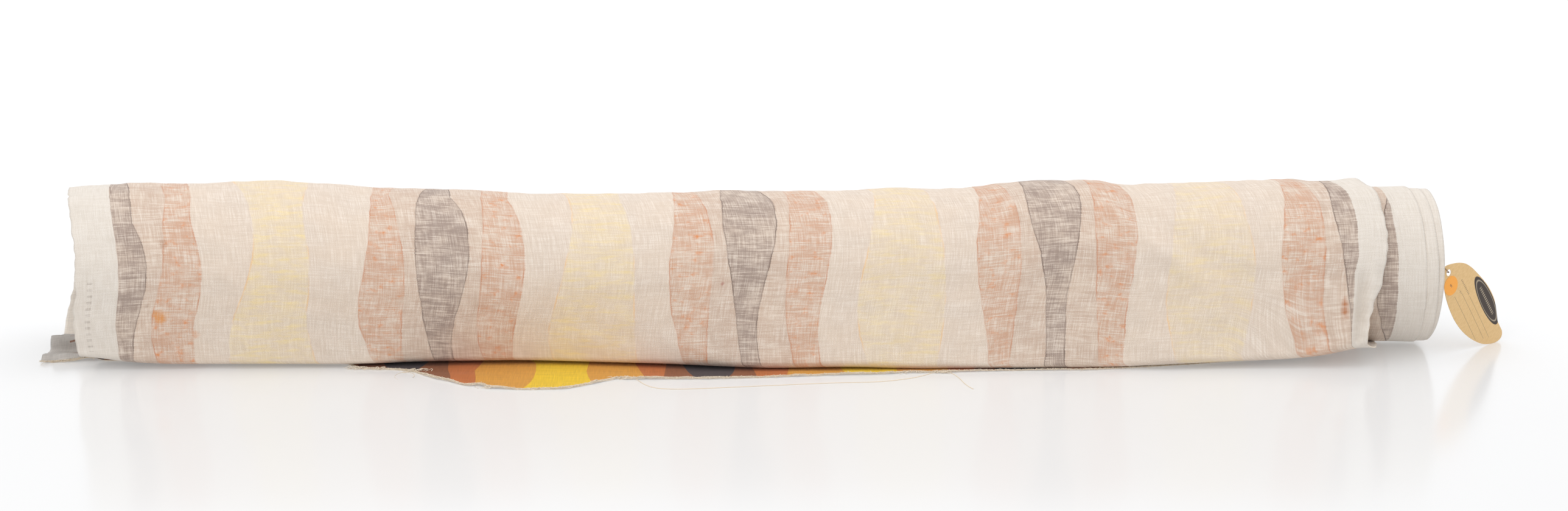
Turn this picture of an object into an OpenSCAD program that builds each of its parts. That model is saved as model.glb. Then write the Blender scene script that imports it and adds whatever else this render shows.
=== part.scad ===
// Bolt of furnishing cloth, rolled reverse side out on a cardboard tube and lying on a table.
// Millimetres. X runs along the roll, Z is up, and the origin is on the table under the tube's axis,
// at the middle of the outer turn. The cloth's cut end lies in front of the roll, towards -Y, and runs
// back under the roll, up the back, over the top and down the front as the loose outer turn, then
// tucks under and winds on inwards. Each turn inwards sits a little further to the right.

/* [Core tube] */
// Bore of the cardboard tube, which takes a spindle or a rack pole
tube_bore_d = 38.1; // [34:0.1:40]
// Wall of the cardboard tube
tube_wall = 3.4; // [2:0.1:5]
// Length of the tube, a little more than the width of the cloth
tube_l = 1240; // [1230:5:1280]
// Width of each tape strip that holds the first turn to the tube
tape_w = 48; // [24:1:60]
// Number of tape strips
tape_count = 3; // [2:1:5]

/* [Wound cloth] */
// Width of the cloth between its selvages
cloth_w = 1220; // [1150:10:1225]
// Diameter over the tightly wound turns
pack_d = 146; // [144:0.5:148]
// How far the innermost turns stand out to the right of the outer turn's front
pack_shift = 59; // [50:1:65]
// How far the second turn stands out to the right of the outer turn's front
second_shift = 39; // [30:1:45]

/* [Outer turn] */
// How much larger than the pack's radius the loose outer turn's is
loop_ease = 5; // [5:0.5:7]
// Thickness that stands for the cloth of the outer turn
loop_wall = 1.6; // [1:0.1:1.7]
// Looseness of the cloth under the pack
bed = 1.4; // [1.2:0.1:1.8]
// How far the front hangs out from the tube's axis at the bottom
skirt_reach = 90; // [86:1:91]
// Rounding of the front's bottom fold
skirt_r = 9; // [6:0.5:12]
// Angle at which the outer turn's ends are skewed across the roll
end_skew = 15; // [5:1:20]

/* [Free end] */
// Thickness that stands for the cloth lying on the table
flat_t = 2; // [1.8:0.1:2]
// Furthest reach of the cut edge from the tube's axis
cut_reach = 144; // [130:1:160]
// Diameter of a pulled yarn
yarn_d = 0.6; // [0.5:0.1:1]

/* [Swing tag] */
// Length of the oval card
tag_l = 112; // [100:1:114]
// Width of the oval card
tag_w = 58; // [50:1:60]
// Thickness of the card
tag_t = 0.6; // [0.4:0.1:1]
// Diameter of the punched hole
tag_hole_d = 6; // [4:0.5:7]
// Distance from the card's end to the middle of the hole
tag_hole_in = 9.5; // [8:0.5:12]
// Diameter of the round price sticker
dot_d = 19; // [12:1:20]
// Diameter of the tag's thread
thread_d = 0.8; // [0.6:0.1:1]

/* [Hidden] */
$fn = 96;

front_half = cloth_w / 2;
bore_r = tube_bore_d / 2;
tube_r = bore_r + tube_wall;
pack_r = pack_d / 2;
loop_r = pack_r + loop_ease;
axis_z = flat_t + loop_wall + bed + pack_r;
tube_mid_x = pack_shift;

// Radii where one group of wound turns meets the next, and each group's shift to the right
inner_r = 46;
middle_r = 64;
outer_r = pack_r - 0.8;
middle_shift = pack_shift - 2;
outer_shift = pack_shift - 8;

tape_t = 0.3;
tape_arc = 70;

// The outer turn's two arcs in the YZ plane: round the pack, and in the bottom fold at the front
loop_c = [-2, flat_t + loop_r];
fold_c = [skirt_r - skirt_reach, flat_t + skirt_r];

// The cut end: the line it lifts along, its clearance from the cloth behind it, and its thickness
lift_y = -92;
lift_gap = 0.3;
end_t = 1.6;

// How far the cloth under the roll stands out to the left of the outer turn, at its front and back
under_shift_front = 34;
under_shift_back = 56;
under_depth = 160;
far_x = cloth_w;

tag_mid = [703, -33, 47];
tag_turn = 36;
tag_tilt = 49;
dot_t = 0.2;
dot_at = [-32.5, -10];

// Routes of the cords, by hand: the tag's thread out and back, and two yarns along the cut edge
thread_route = [
    [661.9, -66.6, 95.3], [665, -65.9, 94.9], [668.2, -64.6, 93.8], [671.8, -59.6, 88.9],
    [675.7, -55.8, 85.4], [678.2, -53.6, 83.2], [678.8, -52.4, 82.4], [678.3, -50.9, 82.1],
    [677.1, -50.1, 82.4], [675.9, -50.4, 83.2], [673.4, -52.7, 85.4], [670.6, -56.8, 88.9],
    [668.6, -62.4, 93.2], [665.2, -64, 94.4], [661.9, -64.8, 95]
];
long_yarn = [
    [-90, -112, 0.6], [-86, -121, 0.5], [-81, -131, 0.4], [-74, -140, 0.4], [-64, -145, 0.4],
    [-50, -146.5, 0.4], [-30, -145, 0.4], [-5, -141.5, 0.4], [22, -138, 0.4], [50, -134.5, 0.4],
    [76, -131, 0.4], [100, -128.8, 0.4], [122, -128, 0.4], [138, -126, 0.4], [151, -122, 0.4],
    [164, -116.5, 0.4], [176, -109, 0.4], [186, -99, 0.5]
];
short_yarn = [
    [203, -97, 0.5], [204.6, -101, 0.4], [206.2, -104.9, 0.4], [207.5, -108.6, 0.4],
    [208.6, -112.4, 0.4], [209.6, -116.2, 0.4], [210.5, -120, 0.4], [211.2, -123.8, 0.4],
    [211.9, -127.6, 0.4], [212.6, -131.4, 0.4], [213.5, -135.2, 0.4], [214.5, -138.9, 0.4],
    [215.6, -142.4, 0.4], [216.8, -145.8, 0.4], [218.1, -149, 0.4], [219.5, -152, 0.4]
];

// Extrudes a YZ outline from x0 to x1
module along_x(x0, x1) {
    translate([x0, 0, 0])
        rotate([90, 0, 90])
            linear_extrude(x1 - x0)
                children();
}

// One group of turns: a plain ring on the tube's axis, its right end at `right`
module turns(r_in, r_out, right) {
    translate([right - cloth_w, 0, axis_z])
        rotate([0, 90, 0])
            difference() {
                cylinder(h = cloth_w, r = r_out);
                translate([0, 0, -1])
                    cylinder(h = cloth_w + 2, r = r_in);
            }
}

// The tape strips, as far out from the tube as `thick`
module tape_strips(thick) {
    pitch = cloth_w / (tape_count + 1);
    for (i = [1:tape_count])
        translate([tube_mid_x - cloth_w / 2 + i * pitch - tape_w / 2, 0, axis_z])
            rotate([0, 90, 0])
                rotate_extrude(angle = tape_arc)
                    translate([tube_r, 0])
                        square([thick, tape_w]);
}

// Point on a circle of radius r about c, at angle a
function on_circle(c, r, a) = c + r * [cos(a), sin(a)];

// Outline of the outer turn, `inset` inside its outer face: the arc in the bottom fold, then the arc
// round the pack, joined by the lines tangent to both
module loop_outline(inset) {
    d = fold_c - loop_c;
    r1 = loop_r - inset;
    r2 = skirt_r - inset;
    along = atan2(d.y, d.x);
    swing = acos((r1 - r2) / norm(d));
    sweep = 360 - 2 * swing;
    polygon(concat(
        [for (i = [0:8]) on_circle(fold_c, r2, along - swing + 2 * swing * i / 8)],
        [for (i = [0:48]) on_circle(loop_c, r1, along + swing + sweep * i / 48)]
    ));
}

// Keeps what lies between the two skewed end planes, whose front edges are at +-front_half
module skewed_ends() {
    far = 200;
    lean = 2 * far * tan(end_skew);
    intersection() {
        children();
        translate([0, -skirt_reach, -1])
            linear_extrude(far)
                polygon([
                    [-front_half, 0], [front_half, 0],
                    [front_half - lean, 2 * far], [-front_half - lean, 2 * far]
                ]);
    }
}

// Sweeps a round cord of diameter d with `sides` sides along a list of points
module cord(route, d, sides = 8) {
    n = len(route);
    function way(i) = route[min(i + 1, n - 1)] - route[max(i - 1, 0)];
    function unit(v) = v / norm(v);
    function side(i) = unit(cross(way(i), [0.3, 0.2, 1]));
    function up(i) = unit(cross(side(i), way(i)));
    function ring(i) = [
        for (k = [0:sides - 1])
            route[i] + d / 2 * (cos(360 * k / sides) * side(i) + sin(360 * k / sides) * up(i))
    ];
    polyhedron(
        points = [for (i = [0:n - 1]) each ring(i)],
        faces = concat(
            [[for (k = [0:sides - 1]) k]],
            [for (i = [0:n - 2], k = [0:sides - 1]) [
                i * sides + k, (i + 1) * sides + k,
                (i + 1) * sides + (k + 1) % sides, i * sides + (k + 1) % sides
            ]],
            [[for (k = [sides - 1:-1:0]) (n - 1) * sides + k]]
        )
    );
}

// Puts a drawing of the card, face up with its long axis along X, where the tag hangs
module at_tag() {
    translate(tag_mid)
        rotate([0, 0, tag_turn])
            rotate([0, tag_tilt, 0])
                rotate([90, 0, 0])
                    children();
}

module core_tube() {
    color("burlywood")
        translate([tube_mid_x - tube_l / 2, 0, axis_z])
            rotate([0, 90, 0])
                difference() {
                    cylinder(h = tube_l, r = tube_r);
                    translate([0, 0, -1])
                        cylinder(h = tube_l + 2, r = bore_r);
                }
}

module start_tape() {
    color("wheat")
        tape_strips(tape_t);
}

module wound_turns_inner() {
    color("linen")
        difference() {
            turns(tube_r, inner_r, front_half + pack_shift);
            tape_strips(tape_t);
        }
}

module wound_turns_middle() {
    color("antiquewhite")
        turns(inner_r, middle_r, front_half + middle_shift);
}

module wound_turns_outer() {
    color("linen")
        turns(middle_r, outer_r, front_half + outer_shift);
}

module second_turn() {
    color("antiquewhite")
        turns(outer_r, pack_r, front_half + second_shift);
}

module outer_turn() {
    color("bisque")
        skewed_ends()
            along_x(-far_x, far_x)
                difference() {
                    loop_outline(0);
                    loop_outline(loop_wall);
                }
}

// The cloth between the cut end and the outer turn: flat under the roll, then rising behind it
module under_layer() {
    front_y = lift_y + lift_gap;
    front_left = -front_half - under_shift_front;
    back_left = -front_half - under_shift_back;
    rise = [[26, 0], [46, 11], [62, 27], [67, 38], [40, 60]];
    color("tan")
        intersection() {
            along_x(-far_x, far_x)
                difference() {
                    polygon(concat([[front_y, flat_t], [front_y, 0]], rise, [[0, flat_t]]));
                    translate(loop_c)
                        circle(r = loop_r);
                }
            translate([0, lift_y, -1])
                linear_extrude(axis_z)
                    polygon([
                        [front_left, 0], [front_left + cloth_w, 0],
                        [back_left + cloth_w, under_depth], [back_left, under_depth]
                    ]);
        }
}

// The cut end, printed face up, with its cut edge wandering in front of the roll
module free_end() {
    cut_edge = [
        [-290, lift_y], [-262, -115], [-230, -130], [-194, -cut_reach], [-140, -136], [-106, -107],
        [-78, -112], [-28, -112], [28, -108], [93, -101], [153, -97], [200, -96], [206, lift_y]
    ];
    color("goldenrod")
        linear_extrude(end_t)
            polygon(cut_edge);
}

module loose_yarns() {
    color("cornsilk") {
        cord(long_yarn, yarn_d);
        cord(short_yarn, yarn_d);
    }
}

module tag_thread() {
    color("sienna")
        cord(thread_route, thread_d);
}

module hang_tag() {
    color("peru")
        at_tag()
            linear_extrude(tag_t)
                difference() {
                    polygon([for (a = [0:6:354]) [tag_l / 2 * cos(a), tag_w / 2 * sin(a)]]);
                    translate([tag_hole_in - tag_l / 2, 0])
                        circle(d = tag_hole_d);
                }
}

module dot_sticker() {
    color("darkorange")
        at_tag()
            translate([dot_at.x, dot_at.y, tag_t])
                cylinder(h = dot_t, d = dot_d);
}

core_tube();
start_tape();
wound_turns_inner();
wound_turns_middle();
wound_turns_outer();
second_turn();
outer_turn();
under_layer();
free_end();
loose_yarns();
tag_thread();
hang_tag();
dot_sticker();
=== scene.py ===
"""Looks of a fabric bolt: printed furnishing cloth wound reverse side out, with a tag on its end.

Metres, in the shared frame: X runs along the roll, Z is up, and the table is at z = 0. Across the
cloth, u runs from its left selvage. Along it, v is measured from the top of the loose outer turn,
positive down the front and on into the roll, negative over the back and under to the cut edge.
"""

import math

import bpy
import numpy as np
from mathutils import Matrix, Vector


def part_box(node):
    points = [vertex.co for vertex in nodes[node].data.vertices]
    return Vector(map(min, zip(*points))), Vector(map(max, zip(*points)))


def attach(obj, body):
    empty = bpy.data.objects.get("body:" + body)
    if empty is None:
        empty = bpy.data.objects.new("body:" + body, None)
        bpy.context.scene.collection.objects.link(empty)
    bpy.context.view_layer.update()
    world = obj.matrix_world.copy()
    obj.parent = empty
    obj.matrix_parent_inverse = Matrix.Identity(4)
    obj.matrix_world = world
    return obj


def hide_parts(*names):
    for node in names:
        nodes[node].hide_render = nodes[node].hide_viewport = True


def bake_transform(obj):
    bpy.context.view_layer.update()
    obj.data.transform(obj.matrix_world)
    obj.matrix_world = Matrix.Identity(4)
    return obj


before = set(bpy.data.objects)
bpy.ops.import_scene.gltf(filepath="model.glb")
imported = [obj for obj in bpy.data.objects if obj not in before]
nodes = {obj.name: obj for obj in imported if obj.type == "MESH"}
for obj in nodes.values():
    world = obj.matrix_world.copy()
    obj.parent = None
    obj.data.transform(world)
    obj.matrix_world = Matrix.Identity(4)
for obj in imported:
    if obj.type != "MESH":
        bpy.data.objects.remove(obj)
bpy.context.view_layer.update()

# ---------- sizes

CLOTH_WIDTH = 1.22
CLOTH_THICK = 0.0007
THREAD_STEP = 0.0015  # between two threads of the weave that go the same way
PITCH = 0.0009  # cloth and the air between two turns of the pack
tube_low, tube_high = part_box("core_tube")
AXIS_Z = (tube_low.z + tube_high.z) / 2
TUBE_R = (tube_high.z - tube_low.z) / 2
PACK_R = (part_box("second_turn")[1].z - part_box("second_turn")[0].z) / 2
FOLD_REACH = 0.0922  # furthest the front's bottom fold hangs out, behind that line
FOLD_R = 0.0065
FLAT_Z = 0.0006  # height of the cloth that lies on the table
PRINT_REPEAT = 0.26  # the print's repeat along the cloth

# ---------- shape helpers


def smooth(values):
    """0 to 1 with level ends."""
    t = np.clip(values, 0, 1)
    return t * t * (3 - 2 * t)


def through(keys, x, soft=0.0):
    """The line through (place, value) keys at x, rounded off over soft metres on each side."""
    places, values = zip(*keys)
    if soft == 0:
        return np.interp(x, places, values)
    steps = np.linspace(-2, 2, 9)
    weights = np.exp(-(steps**2) / 2)
    total = sum(w * np.interp(x + s * soft, places, values) for s, w in zip(steps, weights))
    return total / weights.sum()


def waves(a, b, seed, count=10, longest=0.2, shortest=0.05, spread=math.pi):
    """Smooth seeded unevenness over a surface, about -1 to 1."""
    rng = np.random.default_rng(seed)
    total = np.zeros(np.broadcast(a, b).shape)
    for i in range(count):
        length = longest * (shortest / longest) ** (i / max(count - 1, 1))
        turn = rng.uniform(-spread / 2, spread / 2)
        phase = rng.uniform(0, 2 * math.pi)
        total += np.sin(2 * math.pi * (a * math.cos(turn) + b * math.sin(turn)) / length + phase)
    return total / math.sqrt(count)


def bell(values, middle, width):
    return np.exp(-(((values - middle) / width) ** 2) / 2)


def put_in_scene(name, data):
    piece = bpy.data.objects.new(name, data)
    bpy.context.scene.collection.objects.link(piece)
    return piece


def new_mesh(name, points, faces, material, uvs=None):
    """A smooth-shaded mesh object from points and faces, with uvs per point."""
    mesh = bpy.data.meshes.new(name)
    mesh.from_pydata(np.asarray(points, float).tolist(), [], np.asarray(faces).tolist())
    if uvs is not None:
        layer = mesh.uv_layers.new(name="cloth_metres")
        corner = np.zeros(len(mesh.loops), np.int32)
        mesh.loops.foreach_get("vertex_index", corner)
        layer.data.foreach_set("uv", np.asarray(uvs, np.float32)[corner].ravel())
    mesh.polygons.foreach_set("use_smooth", [True] * len(mesh.polygons))
    mesh.update()
    mesh.materials.append(material)
    return put_in_scene(name, mesh)


def grid_faces(at):
    """Faces between the points of a grid, given as the grid of their numbers."""
    corners = [at[:-1, :-1], at[:-1, 1:], at[1:, 1:], at[1:, :-1]]
    return np.stack([c.ravel() for c in corners], 1)


def unit(ways):
    return ways / np.maximum(np.linalg.norm(ways, axis=-1, keepdims=True), 1e-12)


def grid_normals(points):
    """Unit normals of a grid of points, across its rows and columns."""
    across = np.gradient(points, axis=0)
    along = np.gradient(points, axis=1)
    return unit(np.cross(across, along))


ACROSS_YARNS = (0.13, 0.21, 0.97)  # a direction that no yarn follows


def tubes(name, lines, radius, material, sides):
    """One mesh of thin tapering yarns along the lines."""
    turn = np.linspace(0, 2 * math.pi, sides, endpoint=False)[:, None]
    points = []
    faces = []
    for line in lines:
        line = np.asarray(line, float)
        ahead = unit(np.gradient(line, axis=0))
        side = unit(np.cross(ahead, ACROSS_YARNS))
        up = np.cross(side, ahead)
        thin = radius * (1 - 0.75 * np.linspace(0, 1, len(line)) ** 2)[:, None, None]
        rings = line[:, None] + thin * (np.cos(turn) * side[:, None] + np.sin(turn) * up[:, None])
        numbers = np.arange(len(line) * sides).reshape(-1, sides) + len(points)
        faces.append(grid_faces(np.concatenate([numbers, numbers[:, :1]], axis=1)))
        points.extend(rings.reshape(-1, 3))
    return new_mesh(name, points, np.concatenate(faces), material)


def cord_curve(name, route, diameter, material):
    """An open round cord along a route of points."""
    curve = bpy.data.curves.new(name, "CURVE")
    curve.dimensions = "3D"
    curve.bevel_depth = diameter / 2
    curve.bevel_resolution = 3
    curve.resolution_u = 6
    curve.use_fill_caps = True
    spline = curve.splines.new("NURBS")
    spline.points.add(len(route) - 1)
    for point, place in zip(spline.points, route):
        point.co = (*place, 1)
    spline.order_u = 3
    spline.use_endpoint_u = True
    curve.materials.append(material)
    return put_in_scene(name, curve)


# ---------- material helpers


class Graph:
    """Shorthand for building a node tree. Any input is a socket or a plain value."""

    def __init__(self, name):
        self.material = bpy.data.materials.new(name)
        self.material.use_nodes = True
        self.tree = self.material.node_tree
        self.shader = self.tree.nodes["Principled BSDF"]

    def put(self, socket, value):
        if isinstance(value, bpy.types.NodeSocket):
            self.tree.links.new(value, socket)
        else:
            socket.default_value = value

    def node(self, kind, *values, **named):
        """A new node, with its inputs set in order or by name."""
        node = self.tree.nodes.new("ShaderNode" + kind)
        for socket, value in zip(node.inputs, values):
            self.put(socket, value)
        for name, value in named.items():
            self.put(node.inputs[name], value)
        return node

    def math(self, operation, *values, clamp=False):
        node = self.node("Math", *values)
        node.operation = operation
        node.use_clamp = clamp
        return node.outputs[0]

    def times(self, first, *others, clamp=False):
        for other in others:
            first = self.math("MULTIPLY", first, other, clamp=clamp)
        return first

    def plus(self, first, second):
        return self.math("ADD", first, second)

    def minus(self, first, second):
        return self.math("SUBTRACT", first, second)

    def scaled(self, value, factor, offset):
        return self.math("MULTIPLY_ADD", value, factor, offset)

    def sine(self, value, period, turn=0.0):
        """Sine of a coordinate, with its period in metres."""
        return self.math("SINE", self.scaled(value, 2 * math.pi / period, turn))

    def place(self, kind):
        """(first, second, third) coordinate of the surface."""
        split = self.node("SeparateXYZ", self.node("TexCoord").outputs[kind])
        return split.outputs[0], split.outputs[1], split.outputs[2]

    def point(self, x, y, z=0.0):
        return self.node("CombineXYZ", x, y, z).outputs[0]

    def noise(self, place, scale=1.0, detail=2.0, rough=0.5):
        node = self.node("TexNoise", Vector=place, Scale=scale, Detail=detail, Roughness=rough)
        return node.outputs[0]

    def stretched(self, x, y, per_x, per_y, shift=0.0, detail=2.0, rough=0.5):
        """Noise with its own scale along each coordinate, in cycles for each metre."""
        place = self.point(self.times(x, per_x), self.times(y, per_y), shift)
        return self.noise(place, 1.0, detail, rough)

    def span(self, value, low, high, to_low=0.0, to_high=1.0):
        """value from low..high to to_low..to_high, held at the ends."""
        return self.node("MapRange", value, low, high, to_low, to_high).outputs[0]

    def mix(self, share, first, second):
        node = self.node("Mix", Factor=share)
        node.data_type = "RGBA"
        for name, value in (("A", first), ("B", second)):
            socket = next(s for s in node.inputs if s.name == name and s.type == "RGBA")
            self.put(socket, value if isinstance(value, bpy.types.NodeSocket) else (*value, 1))
        return next(s for s in node.outputs if s.type == "RGBA")

    def away(self, x, middle_x, y, middle_y):
        """Distance from a middle point."""
        squares = [self.math("POWER", self.minus(a, b), 2.0) for a, b in ((x, middle_x), (y, middle_y))]
        return self.math("SQRT", self.plus(*squares))

    def dye(self, colour, dye, *shares):
        """The colour, dyed by the product of the shares."""
        return self.mix(self.times(*shares), colour, dye)

    def within(self, value, low, high, blur):
        """1 between low and high and 0 outside them."""
        above = self.span(value, low - blur, low + blur)
        return self.times(above, self.span(value, high - blur, high + blur, 1.0, 0.0))

    def bump(self, height, distance, strength):
        return self.node("Bump", Strength=strength, Distance=distance, Height=height).outputs[0]

    def finish(self, colour, roughness, normal=None, **plain):
        self.put(self.shader.inputs["Base Color"], colour)
        self.put(self.shader.inputs["Roughness"], roughness)
        if normal is not None:
            self.put(self.shader.inputs["Normal"], normal)
        for name, value in plain.items():
            self.shader.inputs[name.replace("_", " ")].default_value = value
        return self.material


# ---------- the print

# The print repeats a motif across the cloth: a dark band between two rust bands, then a pale band.
# Each row: where the motif starts to apply, its middle, and how far along its repeat it has moved.
MOTIFS = [(0.0, 0.0375, -0.045), (0.244, 0.338, 0.0), (0.531, 0.625, 0.033),
          (0.818, 0.912, 0.046), (1.103, 1.1974, 0.04)]
# Left and right edge of each band, from the motif's middle: (place along the repeat, offset) in mm
DARK_BAND = (
    [(0, -9), (40, -19), (85, -24), (120, -18), (150, -9), (185, -1), (215, 3), (240, -2)],
    [(0, 19), (30, 27), (60, 27), (90, 22), (115, 17), (145, 14.5), (170, 15), (205, 20)],
)
NEAR_RUST = (
    [(0, -55), (30, -60), (60, -66), (90, -73), (115, -76), (140, -72), (165, -64), (190, -56), (220, -51)],
    [(0, -39), (60, -36), (120, -35), (150, -33), (220, -31)],
)
FAR_RUST = (
    [(0, 48), (30, 45), (60, 40), (90, 35.5), (115, 35), (140, 37.5), (165, 42.5), (190, 49), (215, 53)],
    [(0, 73), (35, 77.5), (60, 77.5), (90, 75), (120, 72.5), (150, 72), (175, 73), (205, 76.5)],
)
PALE_BAND = (
    [(0, 130), (30, 127), (60, 119), (90, 111), (120, 106), (150, 106.5), (175, 112), (200, 120), (230, 128)],
    [(0, 177), (40, 178), (80, 178), (110, 181), (140, 187), (170, 190), (200, 188), (230, 181)],
)
LEFT_MARGIN = 0.0393
RIGHT_MARGIN = 1.1928


def edge_curve(g, along, points):
    """A band's edge in metres from the motif's middle, as a smooth closed curve of the repeat."""
    node = g.node("FloatCurve", Value=along)
    low, high = -100.0, 200.0
    curve = node.mapping.curves[0]
    keys = [(k / (PRINT_REPEAT * 1000), (value - low) / (high - low)) for k, value in points]
    keys.append((1.0, keys[0][1]))
    for point, key in zip((curve.points[0], curve.points[-1]), (keys[0], keys[-1])):
        point.location = key
    for key in keys[1:-1]:
        curve.points.new(*key)
    node.mapping.update()
    return g.scaled(node.outputs[0], (high - low) / 1000, low / 1000)


def print_depths(g, u, v):
    """How far inside the nearest dark, rust, pale and brown area each point is, in metres."""
    middle = MOTIFS[0][1]
    moved = MOTIFS[0][2]
    for before, motif in zip(MOTIFS, MOTIFS[1:]):
        here = g.math("GREATER_THAN", u, motif[0])
        middle = g.scaled(here, motif[1] - before[1], middle)
        moved = g.scaled(here, motif[2] - before[2], moved)
    across = g.minus(u, middle)
    along = g.math("FRACT", g.math("DIVIDE", g.plus(v, moved), PRINT_REPEAT))
    bands = (DARK_BAND, NEAR_RUST, FAR_RUST, PALE_BAND)
    edges = [[edge_curve(g, along, points) for points in band] for band in bands]

    def inside(left, right):
        return g.math("MINIMUM", g.minus(across, left), g.minus(right, across))

    dark, near, far, pale = (inside(*pair) for pair in edges)
    return dark, g.math("MAXIMUM", near, far), pale, inside(edges[1][0], edges[2][1])


def cloth_threads(g, u, v):
    """(warp streaks, weft slubs, blotches, height of the weave), from the cloth's own coordinates."""
    warp = g.stretched(u, v, 1050, 45, 3.1, 3, 0.6)
    weft = g.stretched(u, v, 45, 900, 7.7, 3, 0.65)
    blotch = g.stretched(u, v, 75, 90, 1.3, 4, 0.6)
    weave = g.times(g.sine(u, THREAD_STEP), g.sine(v, THREAD_STEP))
    height = g.scaled(weave, 0.35, g.plus(warp, weft))
    return warp, weft, blotch, height


def outline(g, depth, width):
    """1 on the outline of a band and 0 away from it."""
    return g.span(g.math("ABSOLUTE", depth), width * 0.3, width, 1, 0)


def margins(g, u):
    left = g.span(u, LEFT_MARGIN - 0.0003, LEFT_MARGIN + 0.0003, 1, 0)
    return g.math("MAXIMUM", left, g.span(u, RIGHT_MARGIN - 0.0003, RIGHT_MARGIN + 0.0003))


ECRU = (0.735, 0.63, 0.535)
ECRU_DARK = (0.52, 0.41, 0.32)
ECRU_LIGHT = (0.88, 0.8, 0.715)
REVERSE_DARK = (0.135, 0.11, 0.115)
REVERSE_RUST = (0.64, 0.23, 0.075)
REVERSE_BROWN = (0.46, 0.29, 0.205)
REVERSE_PALE = (0.88, 0.68, 0.25)
SOAKED_RUST = (0.68, 0.215, 0.045)
PALE_LINE = (0.86, 0.48, 0.15)
RUST_LINE = (0.5, 0.16, 0.055)
DARK_LINE = (0.13, 0.085, 0.07)
WARM_PATCH = (0.76, 0.6, 0.46)
BAR_GREY = (0.25, 0.2, 0.17)
SELVAGE = (0.725, 0.655, 0.58)
BAR_STEP = 0.0062  # of the small bars down the left selvage
# Old stains: place across, place along, radius, colour, strength
STAINS = [
    (0.081, 0.136, 0.0085, (0.72, 0.27, 0.03), 0.75),
    (0.083, 0.068, 0.0045, (0.33, 0.13, 0.05), 0.55),
    (0.097, 0.107, 0.0035, (0.6, 0.2, 0.05), 0.6),
    (0.112, 0.155, 0.0045, (0.62, 0.21, 0.05), 0.5),
    (0.067, 0.125, 0.004, (0.22, 0.12, 0.08), 0.45),
    (1.1845, 0.112, 0.0038, (0.42, 0.12, 0.02), 0.85),
    (0.601, 0.097, 0.0016, (0.35, 0.1, 0.08), 0.6),
]


def cloth_reverse_material():
    """The unprinted side: the print shows through, broken by pale slubs."""
    g = Graph("cloth_reverse")
    u, v, _ = g.place("UV")
    warp, weft, blotch, height = cloth_threads(g, u, v)
    wander = g.minus(g.stretched(u, v, 60, 60, 5, 2), 0.5)
    jagged = g.times(g.minus(weft, 0.5), 0.0018)
    moved = g.plus(g.scaled(wander, 0.003, u), jagged)
    dark, rust, pale, brown = print_depths(g, moved, v)
    broad = g.stretched(u, v, 22, 30, 21, 2)

    tone = g.plus(g.times(warp, 0.6), g.times(weft, 0.4))
    ground = g.mix(g.span(tone, 0.36, 0.6, 0.42, 0), ECRU, ECRU_DARK)
    ground = g.mix(g.span(tone, 0.5, 0.68, 0, 0.55), ground, ECRU_LIGHT)
    ground = g.mix(g.span(broad, 0.35, 0.65, 0, 0.22), ground, WARM_PATCH)
    hatch = g.plus(g.times(warp, 0.42), g.times(weft, 0.58))
    patchy = g.plus(g.span(blotch, 0.36, 0.66, 0.28, -0.3), g.span(broad, 0.35, 0.65, 0.12, -0.12))
    ink = g.plus(g.span(hatch, 0.38, 0.6, 1, 0.12), patchy)
    ink = g.times(ink, g.span(weft, 0.57, 0.68, 1, 0.25), clamp=True)
    streak = g.stretched(u, v, 38, 210, 33, 3, 0.6)

    share = g.plus(g.span(streak, 0.5, 0.68, 0, 0.3), g.span(blotch, 0.42, 0.66, 0.1, 0.22))
    share = g.times(share, g.span(u, 0.15, 1.05, 1.15, 0.72))
    colour = g.dye(ground, REVERSE_PALE, g.span(pale, -0.0004, 0.001), share)
    faint = g.span(broad, 0.46, 0.62, 0, 0.45)
    colour = g.dye(colour, PALE_LINE, outline(g, pale, 0.001), faint)
    in_brown = g.span(brown, -0.0004, 0.0004)
    colour = g.dye(colour, REVERSE_BROWN, in_brown, g.scaled(ink, 0.38, 0.09))
    in_rust = g.span(rust, -0.0004, 0.0004)
    colour = g.dye(colour, REVERSE_RUST, in_rust, g.scaled(ink, 0.27, 0.02))
    soaked = g.math("POWER", g.span(g.stretched(u, v, 100, 130, 12, 3, 0.6), 0.54, 0.76), 1.5)
    colour = g.dye(colour, SOAKED_RUST, in_rust, soaked, 0.85)
    strong = g.span(g.stretched(u, v, 30, 38, 45), 0.4, 0.64, 0.1, 0.95)
    colour = g.dye(colour, RUST_LINE, outline(g, rust, 0.0009), strong, 0.6)
    in_dark = g.span(dark, -0.0003, 0.0003)
    colour = g.dye(colour, REVERSE_DARK, in_dark, g.scaled(ink, 0.41, 0.09))
    colour = g.dye(colour, DARK_LINE, outline(g, dark, 0.0008), g.scaled(strong, 0.5, 0.3))

    edge = g.mix(g.span(tone, 0.4, 0.62), (0.645, 0.58, 0.505), (0.79, 0.735, 0.67))
    colour = g.mix(margins(g, moved), colour, g.mix(0.4, edge, SELVAGE))
    for x, y, radius, tint, strength in STAINS:
        away = g.math("DIVIDE", g.away(u, x, v, y), radius)
        ragged = g.span(g.scaled(g.minus(blotch, 0.5), 2.6, away), 0.3, 1.1, strength, 0)
        colour = g.dye(colour, tint, ragged, g.span(hatch, 0.36, 0.6, 1, 0.45))
    bars = g.span(g.sine(v, BAR_STEP), 0.1, 0.5)
    column = g.times(g.within(v, 0.0985, 0.1685, 0.0005), g.within(u, 0.01075, 0.01575, 0.00025))
    colour = g.dye(colour, BAR_GREY, bars, column, g.span(hatch, 0.4, 0.58, 0.42, 0.1))
    normal = g.bump(height, 0.0004, 0.5)
    return g.finish(colour, 0.88, normal, Sheen_Weight=0.12, Sheen_Roughness=0.5, Specular_IOR_Level=0.25)


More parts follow.
